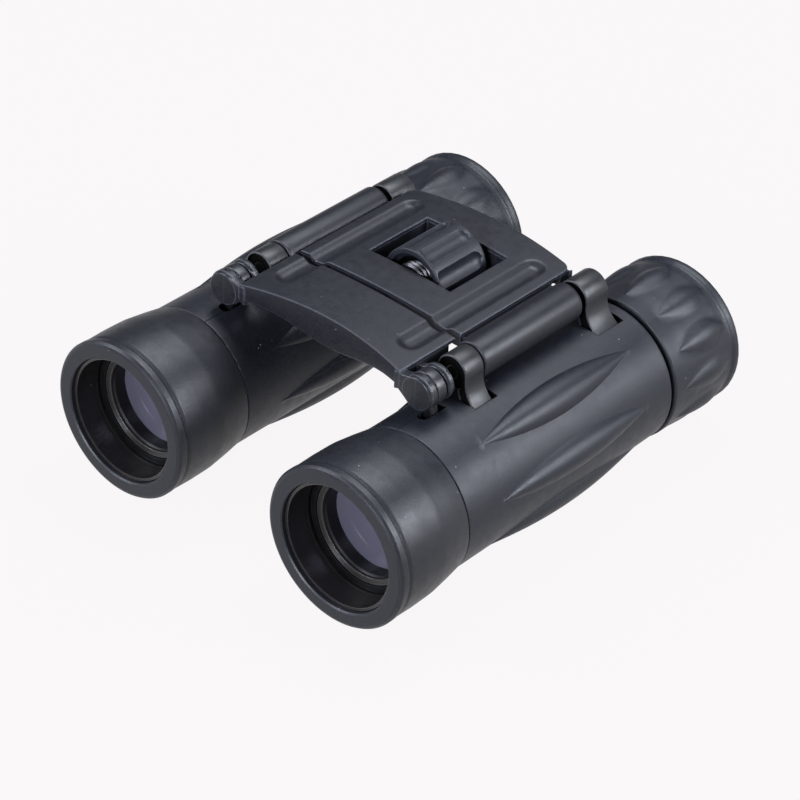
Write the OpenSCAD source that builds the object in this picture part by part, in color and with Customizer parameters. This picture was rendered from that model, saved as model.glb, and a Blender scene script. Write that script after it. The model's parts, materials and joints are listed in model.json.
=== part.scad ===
// Folding pocket binoculars, 12 x 25 class, roof prism, with two hinges and a centre focus.
// Lengths are in millimetres. +Y runs from the objectives to the eyecups, +Z is up, and the
// user's left barrel is on the +X side. Sub-parts are drawn with y counted from the front rim
// and are then moved so that the origin is at the middle of the footprint.

/* [Overall] */
// Length from the objective rim to the eyecup rim
overall_l = 113.6; // [112:0.1:118]
// Distance from the middle of the object to each barrel axis
barrel_x = 31.2; // [31:0.1:33]
// Outer radius of the objective rim, which the front rests on
rim_r = 18.5; // [18.2:0.1:19]

/* [Barrels] */
// Outer radius of the rubber armour at its front
armour_r = 17; // [16.9:0.1:17.3]
// Outer radius of the armour at the eyecup end
armour_rear_r = 16.9; // [16.5:0.1:17]
// Outer radius of the metal barrel tube under the armour
tube_r = 15.5; // [15.4:0.05:15.6]
// Inner radius of the metal barrel tube
tube_bore_r = 14.3; // [14.25:0.05:14.4]
// Where the objective bell ends and the armour begins
bell_l = 22.4; // [21:0.1:23]
// Where the armour ends, just ahead of the eyecup
armour_end = 90.2; // [89:0.1:90.4]
// How far the crest of each grip rib stands out of the armour
rib_h = 1.6; // [0.8:0.1:1.7]
// Radius of the clear opening in the objective bell
opening_r = 14.6; // [14.5:0.05:14.7]

/* [Hinges] */
// Distance from the middle of the object to each hinge axis
hinge_x = 27.5; // [27.4:0.1:27.8]
// Height of the hinge axes above the barrel axes
hinge_rise = 22.6; // [22.4:0.1:23]
// Outer radius of the hinge tubes
hinge_r = 4.3; // [4.1:0.05:4.4]
// Radius of the long hinge pins
pin_r = 1.5; // [1.2:0.05:1.7]

/* [Bridge] */
// Half width of both bridge plates
plate_x = 22.8; // [22:0.1:22.8]
// Height of the middle of the bridge plates above the barrel axes
plate_rise = 27.2; // [27:0.1:27.6]
// How much lower the long edges of the plates lie than their middle
plate_drop = 1.2; // [0.8:0.1:1.4]
// Depth of the long thumb flutes
flute_depth = 1.1; // [0.6:0.1:1.2]

/* [Focus] */
// Outer radius of the focus wheel
wheel_r = 8; // [7.6:0.1:8.2]
// Number of wide flutes round the focus wheel
wheel_flutes = 8; // [6:1:9]
// Height of the focus axis above the barrel axes
focus_rise = 23.4; // [23.2:0.1:23.6]
// Rest gap between the front bridge and the main cover
bridge_gap = 1.7; // [1.6:0.1:2]

/* [Hidden] */

$fn = 96;
e = 0.01;                        // small overlap inside one piece
fit = 0.06;                      // running clearance round a pin or in a thread
barrel_z = rim_r;                // height of the barrel axes
hinge_z = barrel_z + hinge_rise;
focus_z = barrel_z + focus_rise;
plate_z = barrel_z + plate_rise; // top of the plates on the centre line
hinge_dx = hinge_x - barrel_x;   // hinge axis as seen from its barrel axis
hinge_a = atan2(hinge_rise, hinge_dx);
hinge_d = norm([hinge_dx, hinge_rise]);

// Stations along the object, counted from the front rim
ear_y0 = 27.8;
ear_y1 = 30.2;
knuckle_y0 = 30.4;
knuckle_y1 = 33.1;
rear_ear_y0 = 33.6;
rear_ear_y1 = 35.3;
front_strap = [39, 44.7];        // front and rear face of each strap
rear_strap = [78.5, 85.8];
hinge_tube_y0 = 45;
hinge_tube_y1 = 77;
cover_y0 = 47;
cover_y1 = 85.4;
window_x = 11.4;
window_y0 = 56.7;
window_y1 = 75.4;
front_bridge_y1 = cover_y0 - bridge_gap;
wheel_y0 = 57.6;
wheel_y1 = 73.2;
eyecup_y0 = 91.1;
ring_y1 = 93.6;                  // rear face of the diopter ring
slide_gap = 0.4;                 // room for the right ocular to travel
tube_y0 = 1.2;                   // front lip of each barrel tube
tube_step_y = 2.3;               // where the tube widens behind the bell's opening
lip_r = 13.9;                    // inner radius of the lip
lip_y1 = 7.2;                    // rear end of the lip
tube_y1 = 90.6;                  // rear end of each barrel tube
ocular_y1 = 110;                 // rear end of each ocular tube
eye_ring_y = 106.4;              // front face of the ring that holds the eye lens

knuckle_r = 4;
ear_pin_r = 1.2;
rod_r = 1.4;
screw_r = 4.5;                   // crest of the focus screw thread
thread_pitch = 1.2;
thread_depth = 0.5;
strap_r = 4;                     // outer radius of the strap eyes
strap_foot_t = 0.9;
cell_r = tube_bore_r - 0.1;
cell_y0 = 8.2;
lens_r = 12.5;                   // objective glass
eye_glass_r = 9.4;               // field lens and eye lens
cemented_r = -48;                // shared face of the crown and flint lenses
cemented_y = 16.8;
ocular_r = 12.5;
deck_z0 = barrel_z + 22.3;       // underside and top of the main bridge's deck
deck_z1 = barrel_z + 24.3;
cover_screw_x = 12;
cover_screw_ys = [54, 79];
step_x = 13;                     // raised middle of the deck, which fits into the top cover
step_z = barrel_z + 25.95;
rib_angles = [10, 55, 145, 190, 235, 280, 325];
cup_bumps = 12;

glass_blue = [0.62, 0.68, 0.78];
charcoal = [0.27, 0.29, 0.32];
soft_black = [0.2, 0.21, 0.23];

// ---- helpers ----

// Moves a sub-part drawn from the front rim into the object's frame
module placed() {
    translate([0, -overall_l / 2, 0]) children();
}

// Turns the +X barrel's sub-part into the -X barrel's one when side is -1
module sided(side) {
    if (side < 0) {
        mirror([1, 0, 0]) children();
    } else {
        children();
    }
}

// Puts a sub-part on the axis of a barrel
module on_barrel(side) {
    placed() sided(side) translate([barrel_x, 0, barrel_z]) children();
}

// Revolves [radius, y] points about the Y axis
module turned(points) {
    rotate([-90, 0, 0]) rotate_extrude() polygon(points);
}

// A round bar along +Y
module bar(r, y0, y1) {
    translate([0, y0, 0]) rotate([-90, 0, 0]) cylinder(r = r, h = y1 - y0);
}

// A round tube along +Y
module pipe(r_out, r_in, y0, y1) {
    turned([[r_in, y0], [r_out, y0], [r_out, y1], [r_in, y1]]);
}

// Extrudes a shape drawn in X and Z along Y
module along_y(y0, y1) {
    translate([0, y1, 0]) rotate([90, 0, 0]) linear_extrude(y1 - y0) children();
}

// A block from its two corners
module block(a, b) {
    translate(a) cube(b - a);
}

function arc(cx, cy, r, a0, a1, n) =
    [for (i = [0:n]) let (a = a0 + (a1 - a0) * i / n) [cx + r * cos(a), cy + r * sin(a)]];

// Height of the plates' top surface at a distance x from the centre line
function plate_top(x) = plate_z - plate_drop * pow(x / plate_x, 2);

// ---- bridge ----

// Cross-section of both plates, arched on top, from a flat underside at height z
module plate_section(z) {
    polygon(concat(
        [for (i = [-8:8]) let (x = plate_x * i / 8) [x, plate_top(x)]],
        [[plate_x, z], [-plate_x, z]]
    ));
}

// Plan outline of the main cover: straight front edge, rear edge bowed back, round rear corners
module cover_outline() {
    corner_y = 83.6;
    corner_r = 2;
    polygon(concat(
        [[-plate_x, cover_y0], [plate_x, cover_y0]],
        arc(plate_x - corner_r, corner_y - corner_r - 0.4, corner_r, 0, 75, 5),
        [for (i = [6:-1:-6]) let (x = (plate_x - 3) * i / 7)
            [x, cover_y1 - (cover_y1 - corner_y) * pow(x / (plate_x - 3), 2)]],
        arc(-plate_x + corner_r, corner_y - corner_r - 0.4, corner_r, 105, 180, 5)
    ));
}

// A long shallow flute with round ends, from y0 to y1
module flute(side, y0, y1) {
    flute_r = 4.2;
    x = side * 17.5;
    z = plate_top(17.5) + flute_r - flute_depth;
    translate([x, 0, z]) {
        bar(flute_r, y0, y1);
        translate([0, y0, 0]) sphere(r = flute_r);
        translate([0, y1, 0]) sphere(r = flute_r);
    }
}

module top_cover() {
    color(charcoal) placed() difference() {
        intersection() {
            along_y(cover_y0 - 1, cover_y1 + 1) plate_section(deck_z1);
            linear_extrude(60) cover_outline();
        }
        block([-step_x, cover_y0 - 1, deck_z1 - 1], [step_x, 82.6, step_z]);
        block([-window_x, window_y0, 0], [window_x, window_y1, 60]);
        for (side = [-1, 1]) flute(side, cover_y0 - 6, 77);
    }
}

module main_bridge() {
    color(charcoal) placed() difference() {
        union() {
            for (side = [-1, 1]) {
                translate([side * hinge_x, 0, hinge_z]) turned([
                    [0, hinge_tube_y0], [hinge_r - 0.5, hinge_tube_y0], [hinge_r, hinge_tube_y0 + 0.5],
                    [hinge_r, hinge_tube_y1 - 0.9], [hinge_r - 0.9, hinge_tube_y1], [0, hinge_tube_y1]
                ]);
            }
            block([-hinge_x + 3, 48.2, deck_z0], [hinge_x - 3, 76.4, deck_z1]);
            block([0.1 - step_x, cover_y0 + 0.4, deck_z0], [step_x - 0.1, 82.4, step_z - 0.05]);
            block([-5.6, 50.6, barrel_z + 17.6], [5.6, window_y0, deck_z0 + e]);
        }
        block([-window_x, window_y0, 0], [window_x, window_y1, 60]);
        translate([0, 0, focus_z]) bar(2, 40, 60);
        for (side = [-1, 1]) {
            translate([side * hinge_x, 0, hinge_z]) bar(pin_r + fit, 40, 90);
            for (y = cover_screw_ys) translate([side * cover_screw_x, y, deck_z0 - 1]) cylinder(r = 0.8, h = 3);
        }
    }
}

// A trough under the focus wheel, with end walls and a flange on each side
module bottom_cover() {
    trough_r = wheel_r + 1.6;
    color(soft_black) placed() difference() {
        union() {
            translate([0, 0, focus_z]) bar(trough_r, 48.6, 81.6);
            block([-14, 48.6, deck_z0 - 1.4], [14, 81.6, deck_z0]);
        }
        translate([0, 0, focus_z]) bar(trough_r - 1.1, 49.8, 80.4);
        translate([0, 0, focus_z]) bar(2, 40, 60);
        block([-20, 40, deck_z0], [20, 90, 60]);
        for (side = [-1, 1], y = cover_screw_ys) {
            translate([side * cover_screw_x, y, deck_z0 - 2]) cylinder(r = 0.9, h = 3);
        }
    }
}

// Four countersunk screws from below, through the trough's flanges into the bridge
module cover_screws() {
    color("silver") placed() for (side = [-1, 1], y = cover_screw_ys) {
        translate([side * cover_screw_x, y, deck_z0]) difference() {
            union() {
                translate([0, 0, -1.5]) cylinder(r = 0.8, h = 3);
                translate([0, 0, -2.3]) cylinder(r = 1.5, h = 0.85);
            }
            translate([0, 0, -2.4]) block([-1.6, -0.2, 0], [1.6, 0.2, 0.45]);
        }
    }
}

// Front edge of the front bridge, hollow in plan
function front_edge(x) = ear_y0 + 2.8 * (1 - pow(x / plate_x, 2));

// Lower edge of the front bridge's face, deepest in the middle
function front_low(x) = barrel_z + 19.7 + 2.6 * (1 - cos(180 * min(1, abs(x) / 19))) / 2;

module front_bridge() {
    steps = 10;
    color(charcoal) placed() difference() {
        union() {
            intersection() {
                along_y(ear_y0 - 1, front_bridge_y1) polygon(concat(
                    [for (i = [-steps:steps]) let (x = plate_x * i / steps) [x, plate_top(x)]],
                    [for (i = [steps:-1:-steps]) let (x = plate_x * i / steps) [x, front_low(x)]]
                ));
                linear_extrude(60) polygon(concat(
                    [for (i = [-steps:steps]) let (x = plate_x * i / steps) [x, front_edge(x)]],
                    [[plate_x, front_bridge_y1], [-plate_x, front_bridge_y1]]
                ));
            }
            for (side = [-1, 1], ear = [[ear_y0, ear_y1], [rear_ear_y0, rear_ear_y1]]) {
                translate([side * hinge_x, 0, hinge_z]) bar(knuckle_r, ear[0], ear[1]);
                block(
                    [min(side * 21, side * hinge_x), ear[0], hinge_z - 1.6],
                    [max(side * 21, side * hinge_x), ear[1], hinge_z + 3]
                );
            }
        }
        difference() {
            block([2 - plate_x, 33.2, 0], [plate_x - 2, front_bridge_y1 - 1.6, barrel_z + 24]);
            translate([0, 0, focus_z]) bar(3.6, 28, 40);
        }
        block([2 - plate_x, 33.2, 0], [plate_x - 2, 60, barrel_z + 21.6]);
        translate([0, 0, focus_z]) bar(rod_r, 32.6, 60);
        for (side = [-1, 1]) {
            translate([side * hinge_x, 0, hinge_z]) bar(ear_pin_r, 28.8, 40);
            flute(side, 38.6, 52);
        }
    }
}

// ---- focus ----

// Hollow screw held in the front wall of the wheel window; the wheel travels along it
module focus_screw() {
    y0 = window_y0 + 0.1;
    turns = 7;
    y1 = y0 + turns * thread_pitch + 0.2;
    color("dimgray") placed() translate([0, 0, focus_z]) turned(concat(
        [[rod_r + fit, 50.6], [2, 50.6], [2, y0], [screw_r - thread_depth, y0]],
        [for (i = [0:turns - 1], k = [0:3])
            [screw_r - (k == 0 || k == 3 ? thread_depth : 0),
                y0 + 0.1 + (i + [0.05, 0.3, 0.6, 0.85][k]) * thread_pitch]],
        [[screw_r - thread_depth, y1], [rod_r + fit, y1]]
    ));
}

module push_rod() {
    color("silver") placed() translate([0, 0, focus_z]) difference() {
        bar(rod_r, 32.6, 70.4);
        bar(0.7, 66, 72);
    }
}

// Screw and washer that hold the wheel on the end of the push rod
module rod_screw() {
    color("silver") placed() translate([0, 0, focus_z]) difference() {
        union() {
            bar(0.7, 66, 70.5);
            bar(2.9, 70.4, 70.9);
            bar(1.6, 70.8, 72);
        }
        block([-1.7, 71.5, -0.2], [1.7, 72.1, 0.2]);
    }
}

module focus_wheel() {
    flute_a = 21;                // turn of the first flute away from the top
    color(soft_black) placed() translate([0, 0, focus_z]) difference() {
        turned([
            [rod_r + fit, 67], [6.2, 67], [6.2, 59.4], [6.4, wheel_y0], [wheel_r - 0.5, wheel_y0],
            [wheel_r, wheel_y0 + 0.5], [wheel_r, wheel_y1 - 0.5], [wheel_r - 0.5, wheel_y1],
            [3.6, wheel_y1], [3.6, 70.2], [rod_r + fit, 70.2]
        ]);
        for (i = [0:wheel_flutes - 1]) rotate([0, flute_a + i * 360 / wheel_flutes, 0]) {
            translate([0, 0, wheel_r + 1.5]) bar(2.6, wheel_y0 + 1, wheel_y1 - 1.2);
        }
    }
}

module wheel_nut() {
    color("dimgray") placed() translate([0, 0, focus_z]) pipe(6.2, screw_r + fit, 59.4, 66.9);
}

// ---- barrel ----

// One grip rib: a long convex leaf with pointed ends, standing out of the armour
module rib(a) {
    half_l = 24.4;
    half_w = 3.9;
    root = 2.2;                  // depth of the rib's foot under the armour's surface
    n = 5;
    y_mid = 57.6;
    rotate([0, -a, 0]) hull() for (i = [-n:n]) {
        swell = 1 - pow(i / n, 2);
        translate([armour_r, y_mid + half_l * i / n, 0]) rotate([90, 0, 0]) linear_extrude(e) polygon(concat(
            [[-root, half_w * swell + e], [-root, -half_w * swell - e]],
            [for (k = [-3:3]) let (t = k / 3) [(rib_h + 0.45) * swell * (1 - t * t) - 0.45, half_w * swell * t]]
        ));
    }
}

// Slot in the barrel's top for the objective arm, with a round front end
module arm_slot(r0, r1) {
    half_w = 1.4;
    slot_y0 = 29.6;
    slot_y1 = 35;
    rotate([0, 90 - hinge_a, 0]) translate([0, 0, r0]) linear_extrude(r1 - r0) {
        polygon(concat(arc(0, slot_y0, half_w, 180, 360, 12), [[half_w, slot_y1], [-half_w, slot_y1]]));
    }
}

// Angle at which the foot of a strap goes under the armour
function foot_angle(span) = span == front_strap ? 79 : 76;

// Cross-section of a strap: eye round the hinge pin, curved arm, and foot on the barrel tube
module strap_section(a) {
    foot_r = tube_r + strap_foot_t;
    lower = [foot_r * cos(a), foot_r * sin(a)];
    outer_x = hinge_dx + strap_r;
    circle_pts = arc(hinge_dx, hinge_rise, strap_r, 180, 0, 24);
    arm = [for (i = [1:6]) let (t = i / 7)
        [outer_x + (lower[0] - outer_x) * pow(t, 2.2), hinge_rise - (hinge_rise - lower[1]) * t]];
    inner_a = 93;
    polygon(concat(
        circle_pts,
        arm,
        arc(0, 0, foot_r, a, a - 20, 6),
        arc(0, 0, tube_r, a - 20, inner_a, 10),
        [[outer_x - 2.2, hinge_rise - strap_r + 0.2]],
        arc(hinge_dx, hinge_rise, strap_r, 300, 190, 10)
    ));
}

// Middle of a strap along the barrel
function strap_mid(span) = (span[0] + span[1]) / 2;

module strap(side, span) {
    color("dimgray") on_barrel(side) difference() {
        along_y(span[0], span[1]) strap_section(foot_angle(span));
        translate([hinge_dx, 0, hinge_rise]) bar(pin_r, span[0] - 1, span[1] + 1);
        rotate([0, 13 - foot_angle(span), 0]) translate([tube_r - 2, strap_mid(span), 0])
            rotate([0, 90, 0]) cylinder(r = 0.8, h = 4);
    }
}

// Two low-headed screws that hold the strap feet to the barrel tube
module strap_screws(side) {
    color("silver") on_barrel(side) for (span = [front_strap, rear_strap]) {
        rotate([0, 13 - foot_angle(span), 0]) translate([0, strap_mid(span), 0]) rotate([0, 90, 0]) {
            translate([0, 0, tube_bore_r + 0.15]) cylinder(r = 0.8, h = 2);
            translate([0, 0, tube_r + strap_foot_t]) cylinder(r = 1.5, h = 0.4);
        }
    }
}

// Room in the armour for a strap's foot and its screw
module foot_pocket(span) {
    a = foot_angle(span);
    room = 0.45;
    along_y(span[0] - 0.2, span[1] + 1.3) polygon(concat(
        arc(0, 0, tube_r + strap_foot_t + room, a, a - 21, 6),
        arc(0, 0, tube_r - 1, a - 21, 95, 8),
        [[-1, 26], [6, 26]],
        [[(armour_r + 1) * cos(a - 2), (armour_r + 1) * sin(a - 2)]]
    ));
}

module armour(side) {
    color(charcoal) on_barrel(side) difference() {
        union() {
            turned([
                [0, bell_l + 0.1], [armour_r - 0.2, bell_l + 0.1], [armour_r, bell_l + 0.4],
                [armour_r, 80], [armour_rear_r, armour_end - 1.4], [armour_rear_r - 0.5, armour_end],
                [0, armour_end]
            ]);
            for (a = rib_angles) rib(a);
        }
        bar(tube_r, 0, overall_l);
        arm_slot(10, 24);
        for (span = [front_strap, rear_strap]) foot_pocket(span);
    }
}

// The right tube's neck leaves the ocular free to slide
module barrel_tube(side) {
    neck_r = side < 0 ? ocular_r + fit : ocular_r;
    neck_y = 86;
    color("gray") on_barrel(side) difference() {
        turned([
            [lip_r, tube_y0], [opening_r - 0.1, tube_y0], [opening_r - 0.1, tube_step_y],
            [tube_r, tube_step_y], [tube_r, tube_y1], [neck_r, tube_y1],
            [neck_r, neck_y], [tube_bore_r, neck_y], [tube_bore_r, lip_y1], [lip_r, lip_y1]
        ]);
        arm_slot(10, 18);
        for (span = [front_strap, rear_strap]) {
            rotate([0, 13 - foot_angle(span), 0]) translate([10, strap_mid(span), 0])
                rotate([0, 90, 0]) cylinder(r = 0.8, h = 7);
        }
    }
}

module objective_bell(side) {
    color(charcoal) on_barrel(side) turned([
        [opening_r, 0.4], [opening_r + 0.4, 0], [rim_r - 0.9, 0], [rim_r - 0.25, 0.25],
        [rim_r, 0.8], [rim_r, 2.4], [rim_r - 0.35, 2.8], [rim_r - 0.45, 3.2],
        [rim_r - 0.3, 3.7], [rim_r - 0.1, 4.6], [rim_r - 0.05, 9], [rim_r - 0.1, 13],
        [rim_r - 0.3, 15.6], [rim_r - 0.7, 18.4], [armour_r + 0.2, bell_l - 0.4],
        [armour_r - 0.1, bell_l], [tube_r, bell_l],
        [tube_r, tube_step_y], [opening_r, tube_step_y]
    ]);
}

module hinge_pin(side) {
    color("silver") on_barrel(side) translate([hinge_dx, 0, hinge_rise])
        bar(pin_r, front_strap[0] + 0.2, rear_strap[1] - 0.1);
}

module ear_pin(side) {
    color("silver") on_barrel(side) translate([hinge_dx, 0, hinge_rise]) bar(ear_pin_r, ear_y0 + 1, rear_ear_y1 - 0.2);
}

// Sliding cell with the arm and knuckle that join it to the front bridge
module objective_cell(side) {
    cell_y1 = 38.2;
    seat_r = 11.9;               // shoulder that the flint lens rests on
    seat_y = 18.4;
    arm_w = 2.2;
    color(soft_black) on_barrel(side) difference() {
        union() {
            turned([
                [lens_r, cell_y0], [cell_r, cell_y0], [cell_r, cell_y1], [seat_r, cell_y1],
                [seat_r, seat_y], [lens_r, seat_y]
            ]);
            rotate([0, 90 - hinge_a, 0]) block(
                [-arm_w / 2, knuckle_y0 + 0.2, tube_bore_r - 0.9],
                [arm_w / 2, knuckle_y1 - 0.2, hinge_d - 3]
            );
            translate([hinge_dx, 0, hinge_rise]) turned([
                [ear_pin_r + fit, knuckle_y0], [knuckle_r - 0.3, knuckle_y0],
                [knuckle_r, knuckle_y0 + 0.3], [knuckle_r, knuckle_y1 - 0.3],
                [knuckle_r - 0.3, knuckle_y1], [ear_pin_r + fit, knuckle_y1]
            ]);
        }
        translate([hinge_dx, 0, hinge_rise]) bar(ear_pin_r + fit, 20, 40);
    }
}

// Points of a spherical lens face of radius r, from the axis to the rim at height rim, at station y
function face(r, rim, y, n) =
    [for (i = [0:n]) let (h = rim * i / n) [h, y + r - sign(r) * sqrt(r * r - h * h)]];

function reversed(list) = [for (i = [len(list) - 1:-1:0]) list[i]];

// A lens from the radii of its two faces, the radius of its rim and its two stations on the axis
module lens(side, front_r, back_r, rim, y0, y1) {
    color(glass_blue) on_barrel(side) turned(concat(
        face(front_r, rim, y0, 8),
        reversed(face(back_r, rim, y1, 8))
    ));
}

module crown_lens(side) {
    lens(side, 60, cemented_r, lens_r, 11.4, cemented_y);
}

module flint_lens(side) {
    lens(side, cemented_r, -300, lens_r, cemented_y, 18.2);
}

module field_lens(side) {
    lens(side, 400, -22, eye_glass_r, 84.6, 90);
}

module eye_lens(side) {
    lens(side, 24, -24, eye_glass_r, 98.8, 106.2);
}

// Threaded ring that holds the objective glass in its cell
module objective_ring(side) {
    y1 = 12.4;
    bore_r = 11.1;
    color("gray") on_barrel(side) turned([
        [bore_r + 0.2, cell_y0 + 0.4], [lens_r, cell_y0 + 0.4], [lens_r, y1], [bore_r, y1],
        [bore_r, cell_y0 + 0.6]
    ]);
}

module prism_holder(side) {
    color(soft_black) on_barrel(side) difference() {
        bar(tube_bore_r, 49.6, 72);
        block([-7.1, 51.5, -12.1], [7.1, 70.2, 12.1]);
        bar(6.6, 48, 74);
    }
}

module first_prism(side) {
    color(glass_blue) on_barrel(side) translate([-7, 52.2, 0]) rotate([90, 0, 90]) linear_extrude(14)
        polygon([[-0.4, 4.3], [-0.4, -7], [11.7, -12], [15.9, -12]]);
}

// Roof prism: its top is two faces that meet in a ridge
module roof_prism(side) {
    color(glass_blue) on_barrel(side) translate([0, 52.2, 0]) intersection() {
        translate([-7, 0, 0]) rotate([90, 0, 90]) linear_extrude(14)
            polygon([[0.2, 4.7], [16.9, -12], [17.5, -12], [17.5, 12]]);
        translate([0, -2, 3.4]) rotate([90 + 22.5, 0, 0]) translate([0, 0, -30]) linear_extrude(60)
            polygon([[-7.1, -30], [7.1, -30], [7.1, -4.5], [0, 1.6], [-7.1, -4.5]]);
    }
}

// Tube that holds the eyepiece glass; its bore is wider at both ends
module ocular_tube(side) {
    end_r = eye_glass_r + 0.8;
    color("gray") on_barrel(side) turned([
        [end_r, 78], [ocular_r, 78], [ocular_r, ocular_y1], [end_r, ocular_y1],
        [end_r, eye_ring_y], [eye_glass_r, eye_ring_y], [eye_glass_r, 84.2], [end_r, 84.2]
    ]);
}

module lens_spacer(side) {
    color(soft_black) on_barrel(side) pipe(eye_glass_r, eye_glass_r - 0.8, 88.3, 100.3);
}

module eye_ring(side) {
    color(soft_black) on_barrel(side) turned([
        [8.2, eye_ring_y + 0.2], [eye_glass_r + 0.8, eye_ring_y],
        [eye_glass_r + 0.8, eye_ring_y + 2], [eye_glass_r, eye_ring_y + 2]
    ]);
}

// Leaf-shaped outlines round the eyecup, pointed at both ends, that stand up as grip bumps
module cup_leaves() {
    half_l = 7.3;
    half_w = 3.1;
    y_mid = 102.4;
    n = 4;
    for (i = [0:cup_bumps - 1]) rotate([0, 90 - (4 + 360 / cup_bumps * i), 0]) {
        translate([0, y_mid, 14]) linear_extrude(6) polygon(concat(
            [for (k = [-n:n]) [half_w * (1 - pow(k / n, 2)), half_l * k / n]],
            [for (k = [n - 1:-1:1 - n]) [-half_w * (1 - pow(k / n, 2)), half_l * k / n]]
        ));
    }
}

// Rubber eyecup; y0 is its front face
module eyecup(side, y0) {
    lip = overall_l;
    color(charcoal) on_barrel(side) difference() {
        union() {
            turned([
                [0, y0], [16.8, y0], [17.2, y0 + 0.5], [17.2, 95], [17.3, 99], [17.45, 104],
                [17.4, 108.6], [17.1, 110.6], [17.1, 111.2], [17.6, 111.9], [17.7, 112.6],
                [17.5, lip - 0.1], [17, lip], [0, lip]
            ]);
            intersection() {
                turned([
                    [0, 94.9], [16.8, 94.9], [17.8, 98.2], [18.2, 102], [18.4, 105], [18.1, 108],
                    [16.9, 109.9], [0, 109.9]
                ]);
                cup_leaves();
            }
        }
        bar(ocular_r, y0 - 1, ocular_y1);
        turned([[0, ocular_y1 - 0.1], [10.8, ocular_y1 + 0.2], [16.2, lip], [16.2, lip + 1], [0, lip + 1]]);
    }
}

module diopter_ring() {
    color(charcoal) on_barrel(-1) turned([
        [ocular_r + fit, eyecup_y0], [16.8, eyecup_y0], [17.2, eyecup_y0 + 0.5],
        [17.2, ring_y1], [ocular_r + fit, ring_y1]
    ]);
}

main_bridge();
top_cover();
bottom_cover();
cover_screws();
front_bridge();
focus_screw();
push_rod();
rod_screw();
focus_wheel();
wheel_nut();
diopter_ring();
armour(1);  // left_armour
armour(-1);  // right_armour
barrel_tube(1);  // left_barrel_tube
barrel_tube(-1);  // right_barrel_tube
objective_bell(1);  // left_objective_bell
objective_bell(-1);  // right_objective_bell
strap(1, front_strap);  // left_front_strap
strap(-1, front_strap);  // right_front_strap
strap(1, rear_strap);  // left_rear_strap
strap(-1, rear_strap);  // right_rear_strap
strap_screws(1);  // left_strap_screws
strap_screws(-1);  // right_strap_screws
hinge_pin(1);  // left_hinge_pin
hinge_pin(-1);  // right_hinge_pin
ear_pin(1);  // left_ear_pin
ear_pin(-1);  // right_ear_pin
objective_cell(1);  // left_objective_cell
objective_cell(-1);  // right_objective_cell
crown_lens(1);  // left_crown_lens
crown_lens(-1);  // right_crown_lens
flint_lens(1);  // left_flint_lens
flint_lens(-1);  // right_flint_lens
objective_ring(1);  // left_objective_ring
objective_ring(-1);  // right_objective_ring
prism_holder(1);  // left_prism_holder
prism_holder(-1);  // right_prism_holder
first_prism(1);  // left_first_prism
first_prism(-1);  // right_first_prism
roof_prism(1);  // left_roof_prism
roof_prism(-1);  // right_roof_prism
ocular_tube(1);  // left_ocular_tube
ocular_tube(-1);  // right_ocular_tube
field_lens(1);  // left_field_lens
field_lens(-1);  // right_field_lens
lens_spacer(1);  // left_lens_spacer
lens_spacer(-1);  // right_lens_spacer
eye_lens(1);  // left_eye_lens
eye_lens(-1);  // right_eye_lens
eye_ring(1);  // left_eye_ring
eye_ring(-1);  // right_eye_ring
eyecup(1, eyecup_y0);  // left_eyecup
eyecup(-1, ring_y1 + slide_gap);  // right_eyecup
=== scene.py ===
"""Folding pocket binoculars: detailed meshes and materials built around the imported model.

Lengths inside the helpers are millimetres. Sub-parts are drawn with y counted from the front rim,
and `barrel` and `middle` turn such points into the object's frame in metres.
"""
import json
import math

import bmesh
import bpy
from mathutils import Matrix, Vector


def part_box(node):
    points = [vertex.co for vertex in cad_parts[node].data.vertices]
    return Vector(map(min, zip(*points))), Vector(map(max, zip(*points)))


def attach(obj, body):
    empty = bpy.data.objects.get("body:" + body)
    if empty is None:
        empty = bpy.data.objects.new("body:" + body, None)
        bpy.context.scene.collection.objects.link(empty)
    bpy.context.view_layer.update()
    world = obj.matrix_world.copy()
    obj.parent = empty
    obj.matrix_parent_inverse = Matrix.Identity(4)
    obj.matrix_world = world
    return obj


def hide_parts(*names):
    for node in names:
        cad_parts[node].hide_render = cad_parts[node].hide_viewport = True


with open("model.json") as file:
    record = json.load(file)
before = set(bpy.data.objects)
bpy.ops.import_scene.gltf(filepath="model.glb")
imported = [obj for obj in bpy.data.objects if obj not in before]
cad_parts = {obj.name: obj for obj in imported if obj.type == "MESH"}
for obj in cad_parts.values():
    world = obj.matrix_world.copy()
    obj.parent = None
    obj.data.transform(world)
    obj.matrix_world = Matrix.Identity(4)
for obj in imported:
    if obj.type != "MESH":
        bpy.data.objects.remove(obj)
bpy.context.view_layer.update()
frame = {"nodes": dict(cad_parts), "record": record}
MM = 0.001
SIDE = {1: "left", -1: "right"}  # names of the +X and the -X barrel, as the user sees them


# ---- dimensions taken from the frame ----

def node_box(node):
    """Lowest and highest corner of a CAD node in millimetres."""
    low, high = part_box(node)
    return [v / MM for v in low], [v / MM for v in high]


def node_span(node):
    """Front and rear station of a CAD node, counted from the front rim."""
    low, high = node_box(node)
    return low[1] - FRONT_Y, high[1] - FRONT_Y


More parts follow.
